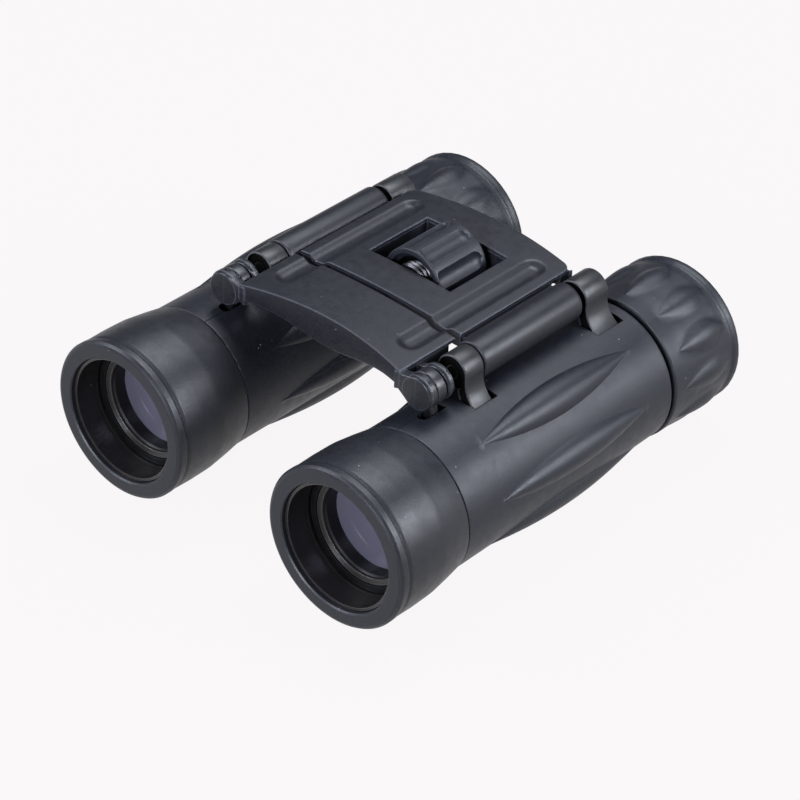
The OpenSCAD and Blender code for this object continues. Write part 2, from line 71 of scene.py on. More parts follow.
bell_low, bell_high = node_box("left_objective_bell")
pin_low, pin_high = node_box("left_hinge_pin")
wheel_low, wheel_high = node_box("focus_wheel")
BARREL_X = (bell_low[0] + bell_high[0]) / 2
BARREL_Z = (bell_low[2] + bell_high[2]) / 2
RIM_R = (bell_high[0] - bell_low[0]) / 2
FRONT_Y = bell_low[1]
BELL_L = bell_high[1] - FRONT_Y
HINGE_X = (pin_low[0] + pin_high[0]) / 2
HINGE_Z = (pin_low[2] + pin_high[2]) / 2
WHEEL_R = (wheel_high[0] - wheel_low[0]) / 2
FOCUS_Z = (wheel_low[2] + wheel_high[2]) / 2
FOCUS_RISE = FOCUS_Z - BARREL_Z
PLATE_X = node_box("top_cover")[1][0]
LENGTH = node_span("left_eyecup")[1]
HINGE_DX = HINGE_X - BARREL_X
HINGE_RISE = HINGE_Z - BARREL_Z
HINGE_ANGLE = math.degrees(math.atan2(HINGE_RISE, HINGE_DX))
HINGE_REACH = math.hypot(HINGE_DX, HINGE_RISE)
FRONT_STRAP = node_span("left_front_strap")
REAR_STRAP = node_span("left_rear_strap")
ARMOUR_FRONT = BELL_L + 0.1
ARMOUR_END = node_span("left_armour")[1]
COVER_FRONT, COVER_REAR = node_span("top_cover")
FRONT_PLATE_END = node_span("front_bridge")[1]

# Sizes that the frame's boxes don't show
ARMOUR_R = 17.0            # outside of the rubber armour at its front
TUBE_R = 15.5              # outside of the metal barrel tube
OPENING_R = 14.66          # clear opening of the objective bell
OBJECTIVE_R = 12.5         # objective glass
OCULAR_R = 12.5            # outside of the ocular tube
EYE_GLASS_R = 9.4          # field lens and eye lens
EYE_R = 4.0                # strap eyes and knuckles on the hinge lines
PIN_R = 1.5                # hinge pins
ROD_R = 1.4                # push rod
KNUCKLE = (30.4, 33.1)     # stations of the objective's knuckle, the ears and the hinge tube
EAR = (27.8, 30.2)
REAR_EAR = (33.6, 35.3)
HINGE_TUBE = (45.0, 77.0)
WINDOW_X = 11.4            # half width and stations of the window for the wheel
WINDOW = (56.7, 75.4)
FIT = 0.06                 # clearance round a pin or in a thread


# ---- shapes: lists of points in millimetres and of faces ----

def barrel(side):
    """Places points drawn round a barrel's axis, mirrored for the -X barrel."""
    return lambda p: (side * (BARREL_X + p[0]) * MM, (FRONT_Y + p[1]) * MM, (BARREL_Z + p[2]) * MM)


def middle(p):
    """Places points drawn from the centre line, with z above the barrels' axes."""
    return (p[0] * MM, (FRONT_Y + p[1]) * MM, (BARREL_Z + p[2]) * MM)


def grid(rows, wrap_rows=False, wrap_cols=True, caps=False):
    """Skin over rows of points."""
    count, width = len(rows), len(rows[0])
    faces = []
    for i in range(count if wrap_rows else count - 1):
        for j in range(width if wrap_cols else width - 1):
            i2 = (i + 1) % count
            j2 = (j + 1) % width
            faces.append((i * width + j, i * width + j2, i2 * width + j2, i2 * width + j))
    if caps:
        faces.append(tuple(range(width)))
        faces.append(tuple(range((count - 1) * width, count * width)))
    return [p for row in rows for p in row], faces


def joined(*shapes):
    """One shape out of several."""
    points, faces = [], []
    for shape_points, shape_faces in shapes:
        start = len(points)
        points.extend(shape_points)
        faces.extend(tuple(start + i for i in face) for face in shape_faces)
    return points, faces


def shifted(shape, dx, dz):
    """Shape moved sideways and up."""
    return [(x + dx, y, z + dz) for x, y, z in shape[0]], shape[1]


def rounded(points, closed=True, steps=4):
    """Outline with each corner (a, b, radius) turned into a curve; (a, b) stays sharp."""
    out = []
    last = len(points) - 1
    for i, point in enumerate(points):
        here = Vector(point[:2])
        if len(point) < 3 or (not closed and i in (0, last)):
            out.append(tuple(here))
            continue
        back = Vector(points[i - 1][:2]) - here
        ahead = Vector(points[(i + 1) % len(points)][:2]) - here
        cut = point[2] / math.tan(back.angle(ahead) / 2)
        start = here + back.normalized() * min(cut, back.length * 0.49)
        end = here + ahead.normalized() * min(cut, ahead.length * 0.49)
        for k in range(steps + 1):
            t = k / steps
            out.append(tuple((1 - t) ** 2 * start + 2 * t * (1 - t) * here + t * t * end))
    return out


def polar(r, degrees):
    """Point at a radius and an angle."""
    return r * math.cos(math.radians(degrees)), r * math.sin(math.radians(degrees))


def lathe(profile, closed=True, segments=180):
    """Solid turned round the Y axis from (radius, y) points."""
    angles = [math.radians(360 * k / segments) for k in range(segments)]
    rows = [[(r * math.cos(a), y, r * math.sin(a)) for a in angles] for r, y in profile]
    return grid(rows, wrap_rows=closed)


def arc(cx, cy, r, a0, a1, n):
    """Points of an arc about (cx, cy) from angle a0 to a1, in n steps."""
    spokes = [polar(r, a0 + (a1 - a0) * k / n) for k in range(n + 1)]
    return [(cx + x, cy + y) for x, y in spokes]


def towards_hinge(x, y, reach):
    """Point at a reach from the barrel's axis along the line to the hinge, and x to its side."""
    turn = Matrix.Rotation(math.radians(90 - HINGE_ANGLE), 3, "Y")
    return tuple(turn @ Vector((x, y, reach)))


def inset(outline, distance):
    """Outline moved inwards by a distance."""
    n = len(outline)
    area = sum(outline[i - 1][0] * outline[i][1] - outline[i][0] * outline[i - 1][1] for i in range(n))
    inwards = 1 if area > 0 else -1
    out = []
    for i, point in enumerate(outline):
        a = Vector(point) - Vector(outline[i - 1])
        b = Vector(outline[(i + 1) % n]) - Vector(point)
        normal_a = Vector((-a.y, a.x)).normalized()
        normal = (normal_a + Vector((-b.y, b.x)).normalized()).normalized()
        reach = inwards * distance / max(0.5, normal.dot(normal_a))
        out.append((point[0] + normal.x * reach, point[1] + normal.y * reach))
    return out


def prism(outline, y0, y1, edge=0.2, recess=0.0, rim=0.6):
    """Solid along Y from an (x, z) outline, with rounded edges and, if asked, a sunken front face."""
    steps = 3
    front = []
    for k in range(steps + 1):
        a = math.radians(90 * k / steps)
        front.append((edge * (1 - math.sin(a)), edge * (1 - math.cos(a))))
    levels = [(d, y0 + h) for d, h in front] + [(d, y1 - h) for d, h in reversed(front)]
    if recess:
        levels = [(rim + 0.1, y0 + recess), (rim, y0)] + levels
    rows = [[(x, y, z) for x, z in inset(outline, d)] for d, y in levels]
    return grid(rows, caps=True)


EDGE_LINES = (0, 0.04, 0.12, 0.22, 0.34, 0.5)  # distances of grid lines from an edge


def grid_lines(*marks, step=0.55):
    """Grid lines from the first mark to the last, close together beside every mark."""
    lines = set()
    for a, b in zip(marks, marks[1:]):
        for d in EDGE_LINES:
            lines.add(round(a + d, 4))
            lines.add(round(b - d, 4))
        n = max(1, math.ceil((b - a - 1) / step))
        lines.update(round(a + 0.5 + (b - a - 1) * k / n, 4) for k in range(n + 1))
    return sorted(lines)


def slab(xs, vs, place_y, top, bottom, keep):
    """Plate over a grid of x and v lines; keep says which cells are solid."""
    width = len(vs)
    spots = [(x, place_y(x, v)) for x in xs for v in vs]
    points = [(x, y, top(x, y)) for x, y in spots] + [(x, y, bottom(x, y)) for x, y in spots]
    half = len(spots)
    faces = []
    borders = {}
    for i in range(len(xs) - 1):
        for j in range(width - 1):
            if not keep((xs[i] + xs[i + 1]) / 2, (vs[j] + vs[j + 1]) / 2):
                continue
            cell = (i * width + j, (i + 1) * width + j, (i + 1) * width + j + 1, i * width + j + 1)
            faces.append(cell)
            faces.append(tuple(half + k for k in reversed(cell)))
            for a, b in zip(cell, cell[1:] + cell[:1]):
                if (b, a) in borders:
                    del borders[(b, a)]
                else:
                    borders[(a, b)] = True
    faces.extend((a, b, b + half, a + half) for a, b in borders)
    used = sorted({i for face in faces for i in face})
    renumber = {old: new for new, old in enumerate(used)}
    return [points[i] for i in used], [tuple(renumber[i] for i in face) for face in faces]


def edge_drop(distance, radius):
    """How far a surface has sunk at a distance from its rounded edge."""
    if distance >= radius:
        return 0
    reach = radius - max(distance, 0)
    return radius - math.sqrt(radius * radius - reach * reach)


def bump_rows(stations, base, angles, half_width, lift, across=12, between=10):
    """Rows round a barrel whose columns follow the outlines of bumps centred on the given angles."""
    rows = []
    for y in stations:
        r = base(y)
        half = [math.degrees(half_width(y) / r)] * len(angles)
        row = []
        for k, angle in enumerate(angles):
            following = angles[k + 1] if k + 1 < len(angles) else angles[0] + 360
            for c in range(across):
                t = 2 * c / across - 1
                row.append((angle + t * half[k], r + lift(y, t)))
            gap0 = angle + half[k]
            gap1 = following - half[k]
            row.extend((gap0 + (gap1 - gap0) * c / between, r) for c in range(between))
        spokes = [polar(q, a) for a, q in row]
        rows.append([(x, y, z) for x, z in spokes])
    return rows


def ring_rows(rows, profile):
    """Rows of (radius, y) points that go on from bump rows, at the same angles."""
    angles = [math.atan2(p[2], p[0]) for p in rows[-1]]
    return [[(r * math.cos(a), y, r * math.sin(a)) for a in angles] for r, y in profile]


# ---- pieces ----

def mesh_object(name, shape, place, material, sharp):
    """Makes a mesh object from a shape and sets its shading."""
    mesh = bpy.data.meshes.new(name)
    mesh.from_pydata([place(p) for p in shape[0]], [], shape[1])
    clean = bmesh.new()
    clean.from_mesh(mesh)
    bmesh.ops.remove_doubles(clean, verts=clean.verts, dist=2e-7)
    bmesh.ops.recalc_face_normals(clean, faces=clean.faces)
    clean.to_mesh(mesh)
    clean.free()
    piece = bpy.data.objects.new(name, mesh)
    bpy.context.scene.collection.objects.link(piece)
    mesh.materials.append(material)
    shade(mesh, sharp)
    return piece


def build(name, shape, place, body, nodes, material, sharp=32):
    """Makes a piece and says which body it rides on, which nodes it replaces and what it is made of."""
    piece = mesh_object(name, shape, place, material, sharp)
    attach(piece, body)
    if nodes:
        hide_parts(*nodes)
    return piece


def shade(mesh, sharp):
    """Smooth shading with edges kept sharp above an angle in degrees."""
    mesh.polygons.foreach_set("use_smooth", [True] * len(mesh.polygons))
    mesh.set_sharp_from_angle(angle=math.radians(sharp))


def carve(piece, place, cutters, sharp):
    """Cuts shapes out of a piece."""
    for shape in cutters:
        tool = mesh_object("cutter", shape, place, piece.data.materials[0], sharp)
        cut = piece.modifiers.new("cut", "BOOLEAN")
        cut.operation = "DIFFERENCE"
        cut.solver = "EXACT"
        cut.object = tool
        result = bpy.data.meshes.new_from_object(piece.evaluated_get(bpy.context.evaluated_depsgraph_get()))
        piece.modifiers.remove(cut)
        piece.data = result
        bpy.data.objects.remove(tool)
    shade(piece.data, sharp)


def paint_faces(piece, material, test):
    """Gives a second material to the faces whose centre passes a test, in millimetres."""
    piece.data.materials.append(material)
    for face in piece.data.polygons:
        x, y, z = face.center
        if test(x / MM, y / MM - FRONT_Y, z / MM - BARREL_Z, face.normal):
            face.material_index = 1


# ---- materials ----

class Nodes:
    """A material's node tree with short ways to add nodes and links."""

    def __init__(self, name):
        self.material = bpy.data.materials.new(name)
        self.material.use_nodes = True
        self.tree = self.material.node_tree
        self.shader = self.tree.nodes["Principled BSDF"]
        self.coords = self.tree.nodes.new("ShaderNodeTexCoord").outputs["Object"]

    def add(self, kind, inputs, **settings):
        node = self.tree.nodes.new(kind)
        for key, value in settings.items():
            setattr(node, key, value)
        for key, value in inputs.items():
            self.feed(node.inputs[key], value)
        return node

    def feed(self, socket, value):
        if isinstance(value, bpy.types.NodeSocket):
            self.tree.links.new(value, socket)
        else:
            socket.default_value = value

    def noise(self, size, detail=3.0):
        """Noise whose features are about size millimetres across."""
        scale = 1 / (size * MM)
        node = self.add("ShaderNodeTexNoise", {"Vector": self.coords, "Scale": scale, "Detail": detail})
        return node.outputs["Fac"]

    def multiply(self, a, b):
        return self.add("ShaderNodeMath", {0: a, 1: b}, operation="MULTIPLY").outputs[0]

    def ramp(self, value, low, high, out_low=0.0, out_high=1.0):
        """Maps low to high onto out_low to out_high, and holds the value outside them."""
        node = self.add("ShaderNodeMapRange", {
            "Value": value, "From Min": low, "From Max": high, "To Min": out_low, "To Max": out_high})
        return node.outputs["Result"]

    def mix(self, fac, a, b):
        node = self.add("ShaderNodeMix", {}, data_type="RGBA")
        self.feed(node.inputs[0], fac)
        self.feed(node.inputs[6], a)
        self.feed(node.inputs[7], b)
        return node.outputs[2]

    def worn_and_highlit_edges(self, amount):
        """Convex edges painted bright, partly as wear and partly as a painted edge highlight: a rounded
        normal differs from the true one there.
        """
        here = self.add("ShaderNodeNewGeometry", {})
        smooth = self.add("ShaderNodeBevel", {"Radius": 0.35 * MM}, samples=4)
        agree = self.add("ShaderNodeVectorMath", {0: here.outputs["Normal"], 1: smooth.outputs[0]},
                         operation="DOT_PRODUCT")
        edge = self.ramp(agree.outputs["Value"], 0.995, 0.93, 0.0, amount)
        convex = self.ramp(here.outputs["Pointiness"], 0.497, 0.503)
        return self.multiply(edge, convex)

    def bump(self, strength, depth, height):
        """Feeds a bump of a depth in millimetres into the shader's normal."""
        node = self.add("ShaderNodeBump", {"Strength": strength, "Distance": depth * MM, "Height": height})
        self.feed(self.shader.inputs["Normal"], node.outputs["Normal"])

    def specks(self, spacing, size):
        """Sparse dust: about one cell in three holds a speck."""
        cells = self.add("ShaderNodeTexVoronoi", {"Vector": self.coords, "Scale": 1 / (spacing * MM)})
        near = self.ramp(cells.outputs["Distance"], size * 0.6, size, 1.0, 0.0)
        chance = self.add("ShaderNodeSeparateColor", {"Color": cells.outputs["Color"]})
        chosen = self.ramp(chance.outputs[0], 0.62, 0.66)
        return self.multiply(near, chosen)


def shade_of(color, factor):
    """Colour made darker or lighter, with alpha."""
    return (color[0] * factor, color[1] * factor, color[2] * factor, 1.0)


def coating(name, color, roughness, grain, depth, wear_and_highlight=0.35, dust=0.35, specular=0.5):
    """Paint, rubber or anodising: grain, uneven gloss, edges painted lighter as wear and as a painted
    highlight, and a little dust.
    """
    # The edges' tone, seven times the colour, is partly wear and partly a painted edge highlight
    wear_and_highlight_tone = shade_of(color, 7.0)
    dust_tone = (0.32, 0.33, 0.35, 1.0)
    m = Nodes(name)
    tone = m.mix(m.noise(7, 4), shade_of(color, 0.86), shade_of(color, 1.14))
    tone = m.mix(m.ramp(m.noise(0.4, 2), 0.35, 0.65), shade_of(color, 0.5), tone)
    # Convex edges get the lighter tone: wear together with a painted highlight along them
    if wear_and_highlight:
        tone = m.mix(m.worn_and_highlit_edges(wear_and_highlight), tone, wear_and_highlight_tone)
    if dust:
        tone = m.mix(m.multiply(m.specks(3.0, 0.055), dust), tone, dust_tone)
    m.feed(m.shader.inputs["Base Color"], tone)
    gloss = m.ramp(m.noise(2.2, 5), 0.3, 0.7, roughness - 0.05, roughness + 0.05)
    m.feed(m.shader.inputs["Roughness"], gloss)
    m.shader.inputs["Specular IOR Level"].default_value = specular
    m.bump(0.6, depth, m.noise(grain, 4))
    return m.material


def turned_metal(name, color, roughness):
    """Metal with fine turning marks along Y."""
    pitch = 0.08
    m = Nodes(name)
    stretch = m.add("ShaderNodeMapping", {"Vector": m.coords, "Scale": (0.02, 1.0, 0.02)})
    marks = m.add("ShaderNodeTexNoise", {
        "Vector": stretch.outputs[0], "Scale": 1 / (pitch * MM), "Detail": 2.0}).outputs["Fac"]
    tone = m.mix(m.noise(3, 4), shade_of(color, 0.85), shade_of(color, 1.1))
    m.feed(m.shader.inputs["Base Color"], tone)
    m.feed(m.shader.inputs["Roughness"], m.ramp(marks, 0.3, 0.7, roughness - 0.06, roughness + 0.08))
    m.shader.inputs["Metallic"].default_value = 1.0
    m.bump(0.4, 0.01, marks)
    return m.material


def coated_lens(name, color, tint):
    """Objective and eyepiece glass with an anti-reflection coating over a dark barrel."""
    m = Nodes(name)
    m.feed(m.shader.inputs["Base Color"], m.mix(m.noise(9, 2), shade_of(color, 0.8), shade_of(color, 1.2)))
    m.feed(m.shader.inputs["Roughness"], m.ramp(m.noise(1.5, 4), 0.3, 0.8, 0.03, 0.07))
    m.shader.inputs["IOR"].default_value = 1.75
    m.shader.inputs["Specular Tint"].default_value = tint
    return m.material


def clear_glass(name):
    """Glass of the prisms."""
    m = Nodes(name)
    m.feed(m.shader.inputs["Base Color"], m.mix(m.noise(12, 2), (0.8, 0.84, 0.88, 1), (0.9, 0.93, 0.95, 1)))
    m.feed(m.shader.inputs["Roughness"], m.ramp(m.noise(2, 3), 0.3, 0.8, 0.02, 0.06))
    m.shader.inputs["IOR"].default_value = 1.52
    m.shader.inputs["Transmission Weight"].default_value = 0.9
    return m.material


ARMOUR = coating("armour_rubber", (0.0084, 0.0096, 0.0142), 0.46, grain=0.32, depth=0.05, wear_and_highlight=0.0, dust=0.55,
                 specular=0.27)
BELL = coating("bell_coat", (0.0086, 0.0094, 0.0130), 0.43, grain=0.36, depth=0.05, wear_and_highlight=0.25, dust=0.55,
               specular=0.28)
PAINT = coating("bridge_paint", (0.0078, 0.0085, 0.0118), 0.43, grain=0.28, depth=0.022, wear_and_highlight=0.8,
                specular=0.27)
HINGE = coating("hinge_paint", (0.0084, 0.0090, 0.0118), 0.36, grain=0.4, depth=0.015, wear_and_highlight=0.7,
                specular=0.34)
STRAP = coating("strap_alloy", (0.0100, 0.0104, 0.0122), 0.42, grain=0.4, depth=0.015, wear_and_highlight=0.7, dust=0.1,
                specular=0.34)
WHEEL = coating("wheel_rubber", (0.0078, 0.0090, 0.0138), 0.46, grain=0.3, depth=0.02, wear_and_highlight=0.15, dust=0.2,
                specular=0.27)
PLASTIC = coating("dark_plastic", (0.0035, 0.0036, 0.0048), 0.5, grain=0.3, depth=0.02, wear_and_highlight=0.3, dust=0.2,
                  specular=0.2)
INNER = coating("inner_black", (0.0022, 0.0021, 0.0026), 0.4, grain=0.2, depth=0.008, wear_and_highlight=0.2, dust=0.0,
                specular=0.3)
# Near-black painted shadow for cut walls and sunken faces, where shade falls
PAINTED_SHADOW = coating("shadow_black", (0.0008, 0.0008, 0.0009), 0.8, grain=0.2, depth=0.008, wear_and_highlight=0.0, dust=0.0,
                 specular=0.05)
TUBE = coating("tube_alloy", (0.0055, 0.0046, 0.0046), 0.34, grain=0.2, depth=0.006, wear_and_highlight=0.9, dust=0.2)
STEEL = turned_metal("steel", (0.08, 0.08, 0.085), 0.35)
THREAD = turned_metal("screw_metal", (0.035, 0.035, 0.038), 0.33)
LENS = coated_lens("coated_glass", (0.055, 0.053, 0.074), (0.80, 0.75, 1.0, 1.0))
PRISM = clear_glass("prism_glass")
SLOT_MATERIALS = {
    "armour_rubber": ARMOUR, "bell_coat": BELL, "bridge_paint": PAINT, "strap_alloy": STRAP,
    "wheel_rubber": WHEEL, "dark_plastic": PLASTIC, "inner_black": INNER, "tube_alloy": TUBE,
    "steel": STEEL, "screw_metal": THREAD, "coated_glass": LENS, "prism_glass": PRISM,
}


# ---- barrels ----

def objective_bell(side):
    """Flared bell: flat front ring, bead, fine groove, then the flare down to the armour."""
    lip_end = 2.3
    profile = rounded([
        (OPENING_R, 0.75), (OPENING_R, 0.32, 0.25), (OPENING_R + 0.35, 0, 0.1), (RIM_R - 1.0, 0, 0.25),
        (RIM_R - 0.45, 0.22, 0.2), (RIM_R, 0.85, 0.35), (RIM_R, 2.2, 0.3), (RIM_R - 0.32, 2.62, 0.08),
        (RIM_R - 0.42, 2.8, 0.15), (RIM_R - 0.12, 3.6, 1.5), (RIM_R - 0.02, 8, 12.0),
        (RIM_R - 0.12, 13.4, 14.0), (RIM_R - 0.75, 18.3, 14.0), (ARMOUR_R + 0.16, BELL_L - 0.35, 0.3),
        (ARMOUR_R - 0.15, BELL_L, 0.1), (TUBE_R, BELL_L), (TUBE_R, lip_end), (OPENING_R, lip_end)
    ], steps=7)
    build(f"{SIDE[side]}_bell_skin", lathe(profile, segments=220), barrel(side), f"{SIDE[side]}_barrel",
          [f"{SIDE[side]}_objective_bell"], BELL, sharp=40)


RIB_ANGLES = [10, 55, 145, 190, 235, 280, 325]
RIB_MIDDLE = 57.6
RIB_HALF = 24.4
RIB_WIDTH = 3.9
RIB_HEIGHT = 1.95
TAPER_START = 80.0         # where the armour begins to narrow towards the eyecup
TAPER_END = ARMOUR_END - 1.4


def armour_base(y):
    """Radius of the armour between its ribs."""
    if y < TAPER_START:
        return ARMOUR_R - edge_drop(y - ARMOUR_FRONT, 0.25)
    taper = min(1, (y - TAPER_START) / (TAPER_END - TAPER_START))
    return ARMOUR_R - 0.1 * taper - edge_drop(ARMOUR_END - y, 0.6)


def swell(y, centre, half):
    """Rises from 0 at the ends of a leaf to 1 at its centre."""
    return max(0.0, 1 - ((y - centre) / half) ** 2)


def foot_angle(span):
    """Angle round the barrel at which a strap meets the armour."""
    return 79 if span[0] < RIB_MIDDLE else 76


def armour(side):
    """Rubber armour with pointed grip ribs, cut out for the objective's arm and the straps' feet."""
    stations = [ARMOUR_FRONT + d for d in (0, 0.03, 0.08, 0.16, 0.26)]
    stations += [ARMOUR_FRONT + 0.5 + (TAPER_END - ARMOUR_FRONT) * k / 100 for k in range(101)]
    stations += [ARMOUR_END - d for d in (0.6, 0.45, 0.3, 0.17, 0.07, 0)]
    rows = bump_rows(
        stations, armour_base, RIB_ANGLES,
        lambda y: max(0.05, RIB_WIDTH * swell(y, RIB_MIDDLE, RIB_HALF)),
        lambda y, t: RIB_HEIGHT * swell(y, RIB_MIDDLE, RIB_HALF) ** 1.15 * (1 - t * t) ** 0.9)
    rows += ring_rows(rows, [(TUBE_R + 0.02, ARMOUR_END), (TUBE_R + 0.02, ARMOUR_FRONT)])
    piece = build(f"{SIDE[side]}_armour_skin", grid(rows, wrap_rows=True), barrel(side),
                  f"{SIDE[side]}_barrel", [f"{SIDE[side]}_armour"], ARMOUR, sharp=28)
    # A mould line runs along the top, from the front edge to just before the arm's slot
    slit_x, slit_w = -3.6, 0.14
    slit_outline = [(slit_x, 16.4), (slit_x + slit_w, 16.4), (slit_x + slit_w, 18), (slit_x, 18)]
    slit = prism(slit_outline, ARMOUR_FRONT - 0.5, 28.8, edge=0.01)
    pockets = [foot_pocket(span) for span in (FRONT_STRAP, REAR_STRAP)]
    carve(piece, barrel(side), [arm_slot(), slit] + pockets, sharp=28)
    # Painted shadow: the walls of the arm's slot and of the feet's pockets are made near-black to stand in
    # for the shade in them
    paint_faces(piece, PAINTED_SHADOW, lambda x, y, z, n: math.hypot(abs(x) - BARREL_X, z) < armour_base(y) - 0.3)


def arm_slot():
    """Round-ended slot for the objective's arm, cut outwards along the line to the hinge."""
    half, front, rear = 1.4, 29.6, 35.0
    outline = arc(0, front, half, 180, 360, 16) + [(half, rear), (-half, rear)]
    return grid([[towards_hinge(x, y, reach) for x, y in outline] for reach in (12, 24)], caps=True)


def foot_pocket(span):
    """Room in the armour for a strap's foot."""
    a = foot_angle(span)
    under = arc(0, 0, TUBE_R + 1.35, a, a - 21, 6) + arc(0, 0, TUBE_R - 1, a - 21, 95, 8)
    above = [(-1, 26), (6, 26), polar(ARMOUR_R + 1, a - 2)]
    return prism(under + above, span[0] - 0.2, span[1] + 1.3, edge=0.01)


def strap(side, where, span):
    """Strap that holds a barrel to its hinge: eye, curved arm, foot under the armour, and the pin's end."""
    foot_r = TUBE_R + 0.9
    a = foot_angle(span)
    lower = polar(foot_r, a)
    outer_x = HINGE_DX + EYE_R
    curve = []
    for k in range(1, 20):
        t = k / 20
        curve.append((outer_x + (lower[0] - outer_x) * t ** 2.6, HINGE_RISE - (HINGE_RISE - lower[1]) * t))
    outline = arc(HINGE_DX, HINGE_RISE, EYE_R, 190, 0, 40) + curve + arc(0, 0, foot_r, a, a - 20, 8)
    outline += arc(0, 0, TUBE_R + 0.01, a - 20, 93, 12) + [(outer_x - 2.4, HINGE_RISE - EYE_R + 0.1)]
    outline += arc(HINGE_DX, HINGE_RISE, EYE_R, 296, 192, 16)
    band = prism(outline, span[0], span[1], edge=0.28, recess=0.35, rim=0.34)
    pin_front, pin_rear = span[0] + 0.15, span[0] + 2
    pin_profile = rounded([
        (0, pin_front), (PIN_R, pin_front, 0.25), (PIN_R, pin_rear), (0, pin_rear)
    ], closed=False)
    pin = shifted(lathe(pin_profile, closed=False, segments=48), HINGE_DX, HINGE_RISE)
    piece = build(f"{SIDE[side]}_{where}_strap_band", joined(band, pin), barrel(side), f"{SIDE[side]}_barrel",
                  [f"{SIDE[side]}_{where}_strap"], STRAP)
    # Painted shadow on the sunken front face and the pin's end
    paint_faces(piece, PAINTED_SHADOW, lambda x, y, z, n: n.y < -0.5 and y > span[0] + 0.1)


def eyecup(side):
    """Rubber eyecup with twelve leaf-shaped bumps, a groove and a lip."""
    front = node_span(f"{SIDE[side]}_eyecup")[0]
    bumps = [4 + 30 * k for k in range(12)]
    peak = 104.2
    mouth_r, mouth_y = 10.9, 110.05
    base_line = [(front, 17.25), (95, 17.25), (99, 17.35), (104, 17.45), (108.6, 17.4), (110.4, 17.32),
                 (110.9, 17.28), (111.3, 17.32), (111.8, 17.52), (112.3, 17.66), (113.1, 17.65)]

    def base(y):
        for (y0, r0), (y1, r1) in zip(base_line, base_line[1:]):
            if y <= y1:
                t = (y - y0) / (y1 - y0)
                return r0 + (r1 - r0) * t * t * (3 - 2 * t) - 1.2 * edge_drop(y - front, 0.45)
        return base_line[-1][1]

    def leaf(y):
        return swell(y, peak, 9.7 if y < peak else 5.9)

    def width(y):
        return max(0.1, 3.35 * leaf(y))

    def lift(y, t):
        return 0.84 * leaf(y) ** 0.9 * (1 - t * t) ** 1.25

    stations = [front + d for d in (0, 0.04, 0.1, 0.18, 0.28, 0.4, 0.5)]
    stations += [front + 0.8 + (110 - front - 0.8) * k / 52 for k in range(53)]
    stations += [110.3, 110.6, 110.9, 111.1, 111.3, 111.5, 111.7, 111.9, 112.1, 112.4, 112.8, 113.1]
    rows = bump_rows(stations, base, bumps, width, lift, across=10, between=4)
    rows += ring_rows(rows, rounded([
        (17.55, LENGTH - 0.25), (17.3, LENGTH, 0.2), (16.4, LENGTH, 0.2), (mouth_r, mouth_y + 0.25, 0.15),
        (mouth_r, mouth_y), (OCULAR_R, mouth_y), (OCULAR_R, front)
    ], closed=False))
    body = "left_barrel" if side > 0 else "right_ocular"
    build(f"{SIDE[side]}_eyecup_skin", grid(rows, wrap_rows=True), barrel(side), body,
          [f"{SIDE[side]}_eyecup"], ARMOUR, sharp=30)


def diopter_ring():
    """Plain rubber ring in front of the right eyecup."""
    front, rear = node_span("diopter_ring")
    bore = OCULAR_R + FIT
    profile = rounded([
        (bore, front), (17.25, front, 0.45), (17.25, rear, 0.25), (bore, rear)
    ])
    build("diopter_ring_skin", lathe(profile, segments=200), barrel(-1), "diopter_ring", ["diopter_ring"],
          ARMOUR)


# ---- glass ----

def objective(side):
    """Lens cell with its arm and knuckle, the ring that holds the glass, and the glass."""
    label = SIDE[side]
    body = f"{label}_objective"
    front, rear = node_span(f"{label}_objective_cell")
    seat_r, seat_end = 11.9, 18.4
    cell = lathe(rounded([
        (OBJECTIVE_R, front), (14.15, front, 0.15), (14.15, rear), (seat_r, rear), (seat_r, seat_end),
        (OBJECTIVE_R, seat_end)
    ]), segments=160)
    half = 1.1
    y0, y1 = KNUCKLE[0] + 0.2, KNUCKLE[1] - 0.2
    corners = [(-half, y0), (half, y0), (half, y1), (-half, y1)]
    section = rounded([corner + (0.3,) for corner in corners])
    ends = (13.4, HINGE_REACH - 3)
    arm = grid([[towards_hinge(x, y, reach) for x, y in section] for reach in ends], caps=True)
    build(f"{label}_lens_cell", joined(cell, arm), barrel(side), body, [f"{label}_objective_cell"],
          INNER)
    bore = 1.26
    knuckle = shifted(lathe(rounded([
        (bore, KNUCKLE[0]), (EYE_R, KNUCKLE[0], 0.35), (EYE_R, KNUCKLE[1], 0.4), (bore, KNUCKLE[1])
    ]), segments=96), HINGE_DX, HINGE_RISE)
    build(f"{label}_knuckle", knuckle, barrel(side), body, [], HINGE)
    ring_end = 12.35
    ring = lathe(rounded([
        (11.15, 8.65, 0.12), (12.3, 8.3, 0.1), (OBJECTIVE_R, 8.8), (OBJECTIVE_R, ring_end),
        (10.55, ring_end), (10.75, 9.6), (11.05, 9.2, 0.1)
    ]), segments=160)
    piece = build(f"{label}_glass_ring", ring, barrel(side), body, [f"{label}_objective_ring"],
                  TUBE)
    paint_faces(piece, INNER, lambda x, y, z, n: y > 9.1)
    for part, radii, ys in (("crown", (60, -48), (11.4, 16.8)), ("flint", (-48, -300), (16.8, 18.2))):
        lens = lathe(lens_profile(OBJECTIVE_R, radii, ys), closed=False, segments=120)
        build(f"{label}_{part}_glass", lens, barrel(side), body, [f"{label}_{part}_lens"],
              LENS)


def lens_profile(rim, radii, ys):
    """Profile of a lens from the radii of its two faces and their stations on the axis."""
    steps = 24

    def face(r, y):
        out = []
        for k in range(steps + 1):
            h = rim * k / steps
            out.append((h, y + r - math.copysign(math.sqrt(r * r - h * h), r)))
        return out

    return face(radii[0], ys[0]) + face(radii[1], ys[1])[::-1]


